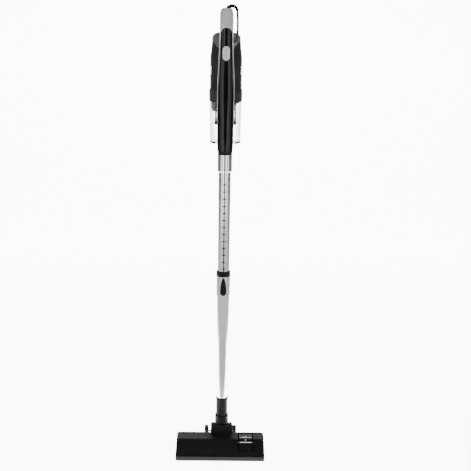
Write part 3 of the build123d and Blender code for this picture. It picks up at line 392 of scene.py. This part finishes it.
CAMERA_AT = (0.003, -1.931, 0.953)
CAMERA_PITCH_DEG = -10.36
CAMERA_YAW_DEG = -0.88
CAMERA_ROLL_DEG = 0.90
LENS_MM = 58.5
PAPER_GLOW = 11.0
GLOW_STARTS = (-0.16, -0.11)  # the depths between which the paper's glow sets in
GLOW_SPREAD = (0.40, 0.345)  # sideways slopes between which the wedge's edge fades, seen from the camera
GLOW_HEIGHT = (1.85, 1.68)  # heights between which the glow dies out up the backdrop
WORLD_STRENGTH = 0.10


def make_camera():
    data = bpy.data.cameras.new("camera")
    data.lens, data.sensor_width = LENS_MM, 36.0
    data.clip_start, data.clip_end = 0.05, 50.0
    camera = bpy.data.objects.new("camera", data)
    bpy.context.scene.collection.objects.link(camera)
    turn = Matrix.Rotation(math.radians(CAMERA_YAW_DEG), 4, "Z")
    turn @= Matrix.Rotation(math.radians(90 + CAMERA_PITCH_DEG), 4, "X")
    turn @= Matrix.Rotation(math.radians(CAMERA_ROLL_DEG), 4, "Z")
    camera.matrix_world = Matrix.Translation(CAMERA_AT) @ turn
    bpy.context.scene.camera = camera


def fade(m, value, start, end):
    """A factor that runs from 0 to 1 while a value runs between two others."""
    node = m.add("ShaderNodeMapRange")
    node.inputs["From Min"].default_value, node.inputs["From Max"].default_value = start, end
    m.link(value, node.inputs["Value"])
    return node.outputs["Result"]


def worked(m, operation, first, second):
    """The result of a math node on two sockets or numbers."""
    node = m.add("ShaderNodeMath", operation=operation)
    for socket, value in zip(node.inputs, (first, second)):
        if isinstance(value, (int, float)):
            socket.default_value = value
        else:
            m.link(value, socket)
    return node.outputs["Value"]


def lit_paper():
    """White paper with a glow, in a wedge that follows from the camera's place and its field of view."""
    m = Nodes("floor_paper")
    colours = m.ramp(m.noise(3.0), (0.84, 0.84, 0.84), (0.86, 0.86, 0.86))
    m.link(colours, m.shader.inputs["Base Color"])
    split = m.add("ShaderNodeSeparateXYZ")
    m.link(m.coords, split.inputs["Vector"])
    x, y, z = (split.outputs[axis] for axis in "XYZ")
    spread = worked(m, "DIVIDE", worked(m, "ABSOLUTE", x, 0.0), worked(m, "SUBTRACT", y, CAMERA_AT[1]))
    lit = worked(m, "MULTIPLY", fade(m, y, *GLOW_STARTS), fade(m, spread, *GLOW_SPREAD))
    lit = worked(m, "MULTIPLY", lit, fade(m, z, *GLOW_HEIGHT))
    m.link(m.ramp(lit, (0.0, 0.0, 0.0), (0.9, 0.9, 0.9), 0.0, 1.0), m.shader.inputs["Emission Color"])
    m.set(Roughness=0.9, Specular_IOR_Level=0.1, Emission_Strength=PAPER_GLOW)
    return m.material


def make_floor():
    """A pale floor that curves up into a backdrop."""
    radius, wall_y, half = 1.2, 4.0, 9.0
    side = [(-8.0, 0.0), (wall_y - radius, 0.0)]
    for i in range(1, 13):
        a = math.radians(90 * i / 12)
        side.append((wall_y - radius + radius * math.sin(a), radius - radius * math.cos(a)))
    side.append((wall_y, 7.0))
    bm = bmesh.new()
    rows = [[bm.verts.new((x, y, z)) for x in (-half, half)] for y, z in side]
    for low, high in zip(rows, rows[1:]):
        bm.faces.new((low[0], low[1], high[1], high[0]))
    mesh = bpy.data.meshes.new("floor")
    bm.to_mesh(mesh)
    bm.free()
    for face in mesh.polygons:
        face.use_smooth = True
    floor = bpy.data.objects.new("floor", mesh)
    bpy.context.scene.collection.objects.link(floor)
    mesh.materials.append(lit_paper())


def make_light(name, place, aim, size, power, tall=None):
    data = bpy.data.lights.new(name, "AREA")
    data.shape, data.size, data.size_y = "RECTANGLE", size, tall or size
    data.energy = power
    light = bpy.data.objects.new(name, data)
    bpy.context.scene.collection.objects.link(light)
    light.location = place
    light.rotation_mode = "QUATERNION"
    light.rotation_quaternion = (Vector(aim) - Vector(place)).to_track_quat("-Z", "Y")


def make_studio():
    world = bpy.data.worlds.new("studio")
    world.use_nodes = True
    background = world.node_tree.nodes["Background"]
    background.inputs["Color"].default_value = (1.0, 1.0, 1.0, 1.0)
    background.inputs["Strength"].default_value = WORLD_STRENGTH
    bpy.context.scene.world = world
    middle = (0.0, 0.05, 0.6)
    make_light("left_box", (-1.5, -1.1, 0.9), middle, 0.7, 9.0, 2.4)
    make_light("right_box", (1.5, -1.1, 0.9), middle, 0.7, 7.0, 2.4)
    make_light("left_front_box", (-0.75, -1.9, 0.5), middle, 0.9, 17.0, 2.8)
    make_light("right_front_box", (0.75, -1.9, 0.5), middle, 0.9, 17.0, 2.8)
    make_light("top_box", (-0.2, -0.7, 2.6), middle, 0.9, 7.0)


# Cord, hank, plug and tie


def turn_point(station, radius, y):
    """One of the points of a hank turn: the first six are the top bend, then the left run, the bottom
    bend and the right run. The control points stand outside the curve that they pull."""
    half = HANK_STRAIGHT / 2
    pulled = radius / math.cos(math.radians(15.0))
    if station in (6, 13):
        return (-radius if station == 6 else radius, y, HANK_Z)
    upper = station < 6
    angle = 15.0 + 30.0 * (station if upper else station - 1)
    a = math.radians(angle)
    return (pulled * math.cos(a), y, HANK_Z + (half if upper else -half) + pulled * math.sin(a))


def eased(share):
    return share * share * (3 - 2 * share)


def hank_points():
    """Five flat spirals of four turns, one behind the other, wound outwards and inwards by turns."""
    outer = INNER_TURN_R + (TURNS - 1) * PITCH
    first = HANK_FRONT_Y + CORD_R
    depths = [first + PITCH * i for i in (1, 0, 2, 3, 4)]
    points = []
    stations = [4, 5, 6, 7, 8, 9, 10, 11, 12, 13, 0, 1, 2, 3]
    steady = 8
    for layer, depth in enumerate(depths):
        inward = layer % 2 == 0
        after = depths[layer + 1] if layer + 1 < len(depths) else depth
        for turn in range(TURNS):
            radius = outer - PITCH * turn if inward else INNER_TURN_R + PITCH * turn
            last = turn == TURNS - 1
            for i, station in enumerate(stations):
                share = eased(max(0, i - steady) / (len(stations) - steady))
                r, y = radius, depth
                if last:
                    y += (after - depth) * share
                    if abs(after - depth) > 1.5 * PITCH:
                        r += PITCH * math.sin(math.pi * share)
                else:
                    r += (-PITCH if inward else PITCH) * share
                if last and layer == len(depths) - 1 and i > stations.index(13):
                    break
                points.append(turn_point(station, r, y))
    return points


def lead_to_plug():
    """From the last inner turn up, over, and down into the plug's sleeve."""
    back = HANK_FRONT_Y + HANK_DEPTH + CORD_R
    centre_z = HANK_Z + PLUG_SIZE[2] / 2 + PLUG_BOOT[2] + 6.0
    points = [(INNER_TURN_R, back - 3.5, HANK_Z + 20.0)]
    pulled = INNER_TURN_R / math.cos(math.radians(15.0))
    for i in range(6):
        a = math.radians(15.0 + 30.0 * i)
        y = back + (PLUG_Y - back) * i / 5
        points.append((pulled * math.cos(a), y, centre_z + pulled * math.sin(a)))
    end = HANK_Z + PLUG_SIZE[2] / 2
    return points + [(PLUG_X, PLUG_Y, end + PLUG_BOOT[2]), (PLUG_X, PLUG_Y, end - 2.0)]


def make_cord():
    points = [leaned(*p) for p in list(CORD_ROUTE) + hank_points() + lead_to_plug()]
    curve = bpy.data.curves.new("flex", "CURVE")
    curve.dimensions = "3D"
    spline = curve.splines.new("NURBS")
    spline.points.add(len(points) - 1)
    for point, place in zip(spline.points, points):
        point.co = (*place, 1.0)
    spline.order_u = 3
    spline.use_endpoint_u = True
    spline.resolution_u = 5
    curve.bevel_depth = CORD_R * MM
    curve.bevel_resolution = 3
    curve.use_fill_caps = True
    curve.materials.append(MATERIALS["cord_jacket"])
    flex = bpy.data.objects.new("flex", curve)
    bpy.context.scene.collection.objects.link(flex)
    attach(flex, "handheld")
    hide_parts("cord", "cord_hank")
    return flex


def make_plug():
    """A moulded plug: a waisted grip with finger ribs and a ribbed sleeve; its two pins below are made by
    make_pins().
    """
    width, depth, height = PLUG_SIZE
    low = HANK_Z - height / 2
    rings = []
    steps = 26
    for i in range(steps + 1):
        share = i / steps
        z = low + height * share
        swell = min(1.0, 0.86 + 0.14 * math.sin(math.pi * min(1.0, share * 6 + 0.2) / 2))
        if share > 0.7:
            swell *= 1 - 0.42 * eased((share - 0.7) / 0.3)
        rib = 0.965 if 0.3 < share < 0.66 and i % 3 == 0 else 1.0
        rings.append(plug_ring(width / 2 * swell * rib, depth / 2 * min(1.0, swell + 0.05) * rib, z))
    low_r, high_r, length = PLUG_BOOT
    for i in range(13):
        share = i / 12
        r = low_r + (high_r - low_r) * share - (0.7 if i % 3 == 1 else 0.0)
        rings.append(plug_ring(r, r, HANK_Z + height / 2 + length * share))
    plug = new_piece("plug_grip", skinned(rings), "handheld", "rubber")
    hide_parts("plug_body")
    return plug


def plug_ring(half_x, half_y, z, count=40):
    """A rounded-rectangle ring about the plug's axis, as a superellipse."""
    ring = []
    for i in range(count):
        a = 2 * math.pi * i / count
        c, s = math.cos(a), math.sin(a)
        x = half_x * math.copysign(abs(c) ** 0.55, c)
        y = half_y * math.copysign(abs(s) ** 0.55, s)
        ring.append(leaned(PLUG_X + x, PLUG_Y + y, z))
    return ring


def make_pins():
    bm = bmesh.new()
    low = HANK_Z - PLUG_SIZE[2] / 2
    for side in (-1, 1):
        x = PLUG_X + side * PIN_SPACING / 2
        profile = [(2.4, 3.0), (2.4, -17.6), (2.1, -18.6), (1.2, -19.0)]
        rings = []
        for r, z in profile:
            centre = leaned(x, PLUG_Y, low + z)
            rings.append(ring_at(centre, Vector((1, 0, 0)), lean_axis("Y"), r * MM, 20))
        skinned(rings, bm)
    pins = new_piece("contact_pins", bm, "handheld", "brass")
    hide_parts("plug_pins")
    return pins


def lean_axis(axis):
    turn = Matrix.Rotation(math.radians(LEAN_DEG), 3, "X")
    return turn @ Vector({"X": (1, 0, 0), "Y": (0, 1, 0), "Z": (0, 0, 1)}[axis])


def rounded_outline(corners, radius, per_corner=6):
    """The outline of a convex polygon of (x, y) corners with its corners rounded."""
    points = []
    count = len(corners)
    for i, corner in enumerate(corners):
        here = Vector(corner)
        before = (Vector(corners[i - 1]) - here).normalized()
        after = (Vector(corners[(i + 1) % count]) - here).normalized()
        angle = before.angle(after)
        back = radius / math.tan(angle / 2)
        start, end = here + before * back, here + after * back
        for k in range(per_corner + 1):
            t = k / per_corner
            points.append(start * (1 - t) ** 2 + here * 2 * t * (1 - t) + end * t**2)
    return points


def make_tie():
    """A woven strap pulled round the hank and the plug."""
    r = INNER_TURN_R + (TURNS - 1) * PITCH + CORD_R + 0.2
    back = HANK_FRONT_Y + HANK_DEPTH
    far = PLUG_Y + PLUG_SIZE[1] / 2
    half = PLUG_SIZE[0] / 2
    front = HANK_FRONT_Y
    corners = [(-r, front), (r, front), (r, back), (PLUG_X + half, far), (PLUG_X - half, far), (-r, back)]
    outline = rounded_outline(corners, 4.0)
    middle = sum(outline, Vector((0, 0))) / len(outline)
    rings = []
    edge = TIE_HEIGHT / 2
    section = [(0, -edge + 0.5), (0, edge - 0.5), (0.4, edge), (TIE_THICKNESS - 0.2, edge - 0.3)]
    section += [(TIE_THICKNESS, edge - 1.6), (TIE_THICKNESS - 0.3, edge - 2.2), (TIE_THICKNESS - 0.3, 2.2 - edge)]
    section += [(TIE_THICKNESS, 1.6 - edge), (TIE_THICKNESS - 0.2, 0.3 - edge), (0.4, -edge)]
    for point in outline:
        out = (point - middle).normalized()
        ring = [leaned(point.x + out.x * d, point.y + out.y * d, HANK_Z + h) for d, h in section]
        rings.append(ring)
    tie = new_piece("cord_strap", skinned(rings, closed=True), "handheld", "strap_fabric")
    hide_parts("cord_tie")
    return tie


def make_boot():
    """The ribbed strain relief, which bends over to the side at the top of the handle."""
    x, z, radius = BOOT_ARC
    steps = 42
    rings = []
    for i in range(steps + 1):
        share = i / steps
        a = math.radians(BOOT_ENDS[0] + (BOOT_ENDS[1] - BOOT_ENDS[0]) * share)
        centre = leaned(x + radius * math.cos(a), 0, z + radius * math.sin(a))
        out = Vector((math.cos(a), 0, 0)) + lean_axis("Z") * math.sin(a)
        r = BOOT_R[0] + (BOOT_R[1] - BOOT_R[0]) * share
        groove = 0.75 if share > 0.2 and i % 5 in (1, 2) and i < steps - 2 else 0.0
        rings.append(ring_at(centre, out, lean_axis("Y"), (r - groove) * MM))
    boot = new_piece("ribbed_boot", skinned(rings), "handheld", "rubber")
    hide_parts("strain_relief")
    return boot


# Floor head details


def make_bristles():
    """Two rows of bristle tufts, each tuft a few tapered fibres that lean their own way."""
    random.seed(7)
    bm = bmesh.new()
    tufts = 68
    for row in BRUSH_Y:
        for i in range(tufts):
            x = -BRUSH_LENGTH / 2 + BRUSH_LENGTH * (i + 0.5) / tufts
            for _ in range(5):
                at_x = x + random.uniform(-0.9, 0.9)
                at_y = row + random.uniform(-1.2, 1.2)
                tip_x = at_x + random.uniform(-0.5, 0.5)
                tip_y = at_y + random.uniform(-0.5, 0.5)
                tip = BRISTLE_TIP_Z + random.uniform(0.0, 0.5)
                low = [upright(tip_x + 0.14 * c, tip_y + 0.14 * s, tip) for c, s in CROSS]
                high = [upright(at_x + 0.3 * c, at_y + 0.3 * s, BRISTLE_TOP_Z) for c, s in CROSS]
                skinned([low, high], bm)
    bristles = new_piece("bristle_tufts", bm, "brush", "bristle")
    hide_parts("brush_bristles")
    return bristles


CROSS = ((1, 0), (0, 1), (-1, 0), (0, -1))


def pedal_top(y):
    """Height of the pedal's top at a depth, in millimetres, on its front slope or on its rear one."""
    low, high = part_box("pedal")
    crease_y, crease_z = 7.0, high.z / MM
    if y > crease_y:
        rear_y, rear_z = high.y / MM, 38.8
        return crease_z + (rear_z - crease_z) * (y - crease_y) / (rear_y - crease_y)
    front_y, front_z = low.y / MM, 22.83
    return crease_z + (front_z - crease_z) * (crease_y - y) / (crease_y - front_y)


def make_pedal_marks():
    """Two raised white bars on the pedal, each with a plain triangle below its middle."""
    bm = bmesh.new()
    half = PEDAL_WIDTH / 2 - 1.6
    for y, depth in ((16.2, 1.3), (-2.6, 1.3)):
        z = pedal_top(y)
        box_piece(bm, (PEDAL_X - half, PEDAL_X + half), (y - depth, y + depth), (z - 1.0, z + 0.55), upright)
    for y in (22.0, 3.2):
        z = pedal_top(y) + 0.25
        corners = [(-2.2, y + 1.6), (2.2, y + 1.6), (0.0, y - 1.8)]
        top = [bm.verts.new(upright(PEDAL_X + dx, dy, pedal_top(dy) + 0.35)) for dx, dy in corners]
        low = [bm.verts.new(upright(PEDAL_X + dx, dy, z - 0.8)) for dx, dy in corners]
        bm.faces.new(top)
        bm.faces.new(low[::-1])
        for i in range(3):
            j = (i + 1) % 3
            bm.faces.new((top[i], low[i], low[j], top[j]))
    marks = new_piece("pedal_marks", bm, "pedal", "white_mark", False)
    return bevelled(marks, 0.2, 2)


def make_wheel_caps():
    """A small domed hub cap in each wheel's dish."""
    for name, side in (("left", -1), ("right", 1)):
        low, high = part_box("wheel_" + name)
        centre = (low + high) / 2
        outer = low.x if side < 0 else high.x
        profile = [(7.0, -2.3), (7.0, -1.0), (6.2, -0.5), (4.0, -0.25), (1.2, -0.2)]
        rings = []
        for r, inset in profile:
            at = Vector((outer + side * inset * MM, centre.y, centre.z))
            rings.append(ring_at(at, Vector((0, 1, 0)), Vector((0, 0, 1)), r * MM, 32))
        cap = new_piece("hub_cap_" + name, skinned(rings), "wheel_" + name, "grey_plastic")
        cap.modifiers.new("edges", "EDGE_SPLIT").split_angle = math.radians(50)


# Wand and hand-held unit details


def tube_strip(name, angles, radius, z, body, finish, thickness=0.12, axis_y=0.0):
    """A thin strip on a round surface, between two angles from the front and two heights."""
    rings = []
    steps = max(2, int(abs(angles[1] - angles[0]) / 3))
    for i in range(steps + 1):
        a = math.radians(angles[0] + (angles[1] - angles[0]) * i / steps)
        ring = []
        for r, h in ((radius, z[0]), (radius + thickness, z[0]), (radius + thickness, z[1]), (radius, z[1])):
            ring.append(leaned(r * math.sin(a), axis_y - r * math.cos(a), h))
        rings.append(ring)
    return new_piece(name, skinned(rings), body, finish, False)


def make_groove_lines():
    """Painted shade in the inner tube's groove: a dark strip on its floor and dark chevrons at its notches; also
    the groove's line on the sleeve.
    """
    half = math.degrees(math.asin(GROOVE_HALF / INNER_TUBE_R))
    span = (-half, half)
    groove_z = (NOTCH_TOP_Z - (NOTCHES + 2) * NOTCH_PITCH, SLEEVE_Z[0] - 0.5)
    # A dark strip on the groove's floor: painted shade in the recess
    tube_strip("groove_line", span, NOTCH_FLOOR_R, groove_z, "handheld", "dark_line")
    tube_strip("sleeve_line", span, SLEEVE_R + 0.01, SLEEVE_Z, "handheld", "dark_line", 0.1)
    wide = math.degrees(math.asin(NOTCH_HALF / INNER_TUBE_R))
    # Dark chevrons at the notches: painted shade on the notches' edges
    for i in range(NOTCHES):
        z = NOTCH_TOP_Z - i * NOTCH_PITCH
        rings = []
        for j in range(-6, 7):
            a = math.radians(wide * j / 6)
            low = z - 0.2 - NOTCH_DROP * abs(j) / 6
            ring = []
            inner, outer, high = NOTCH_FLOOR_R - 0.04, NOTCH_FLOOR_R + 0.08, low + NOTCH_MARK_HEIGHT
            for r, h in ((inner, low), (outer, low), (outer, high), (inner, high)):
                ring.append(leaned(r * math.sin(a), -r * math.cos(a), h))
            rings.append(ring)
        new_piece(f"notch_edge_{i + 1}", skinned(rings), "handheld", "dark_line", False)


def make_cup_details():
    """The thickened rim of the dust cup, and the two clips on its foot."""
    rim = []
    for i in range(96):
        a = 2 * math.pi * i / 96
        ring = []
        for r, h in ((39.7, 936.6), (41.9, 936.6), (42.1, 937.4), (41.9, 939.4), (39.7, 939.4)):
            ring.append(leaned(r * math.sin(a), CYL_Y - r * math.cos(a), h))
        rim.append(ring)
    new_piece("cup_rim", skinned(rim, closed=True), "dust_cup", "housing_plastic")
    for name, angle in (("left", -64.0), ("right", 64.0)):
        span = (angle - 25.0, angle + 25.0)
        place = (span, 39.45, (831.6, 836.2), "dust_cup", "black_plastic")
        clip = tube_strip("cup_clip_" + name, *place, thickness=0.5, axis_y=CYL_Y)


def make_motor_windings():
    """Copper-coloured field coils above and below the stator."""
    for name, z in (("low", 996.6), ("high", 1040.4)):
        for side in (-1, 1):
            rings = []
            for i in range(25):
                a = math.radians(-62 + 124 * i / 24)
                centre = leaned(side * 25.0 * math.cos(a), CYL_Y + 25.0 * math.sin(a), z)
                out = Vector((side * math.cos(a), 0, 0)) + lean_axis("Y") * math.sin(a)
                rings.append(ring_at(centre, out, lean_axis("Z"), 1.15 * MM, 10))
            label = f"field_coil_{name}_{'left' if side < 0 else 'right'}"
            coil = new_piece(label, skinned(rings), "handheld", "brass")
            coil.modifiers.new("round", "SUBSURF").levels = 1


make_camera()
make_floor()
make_studio()
plug, pins, tie = make_plug(), make_pins(), make_tie()
make_cord()
make_boot()
make_bristles()
make_pedal_marks()
make_wheel_caps()
make_groove_lines()
make_cup_details()
make_motor_windings()
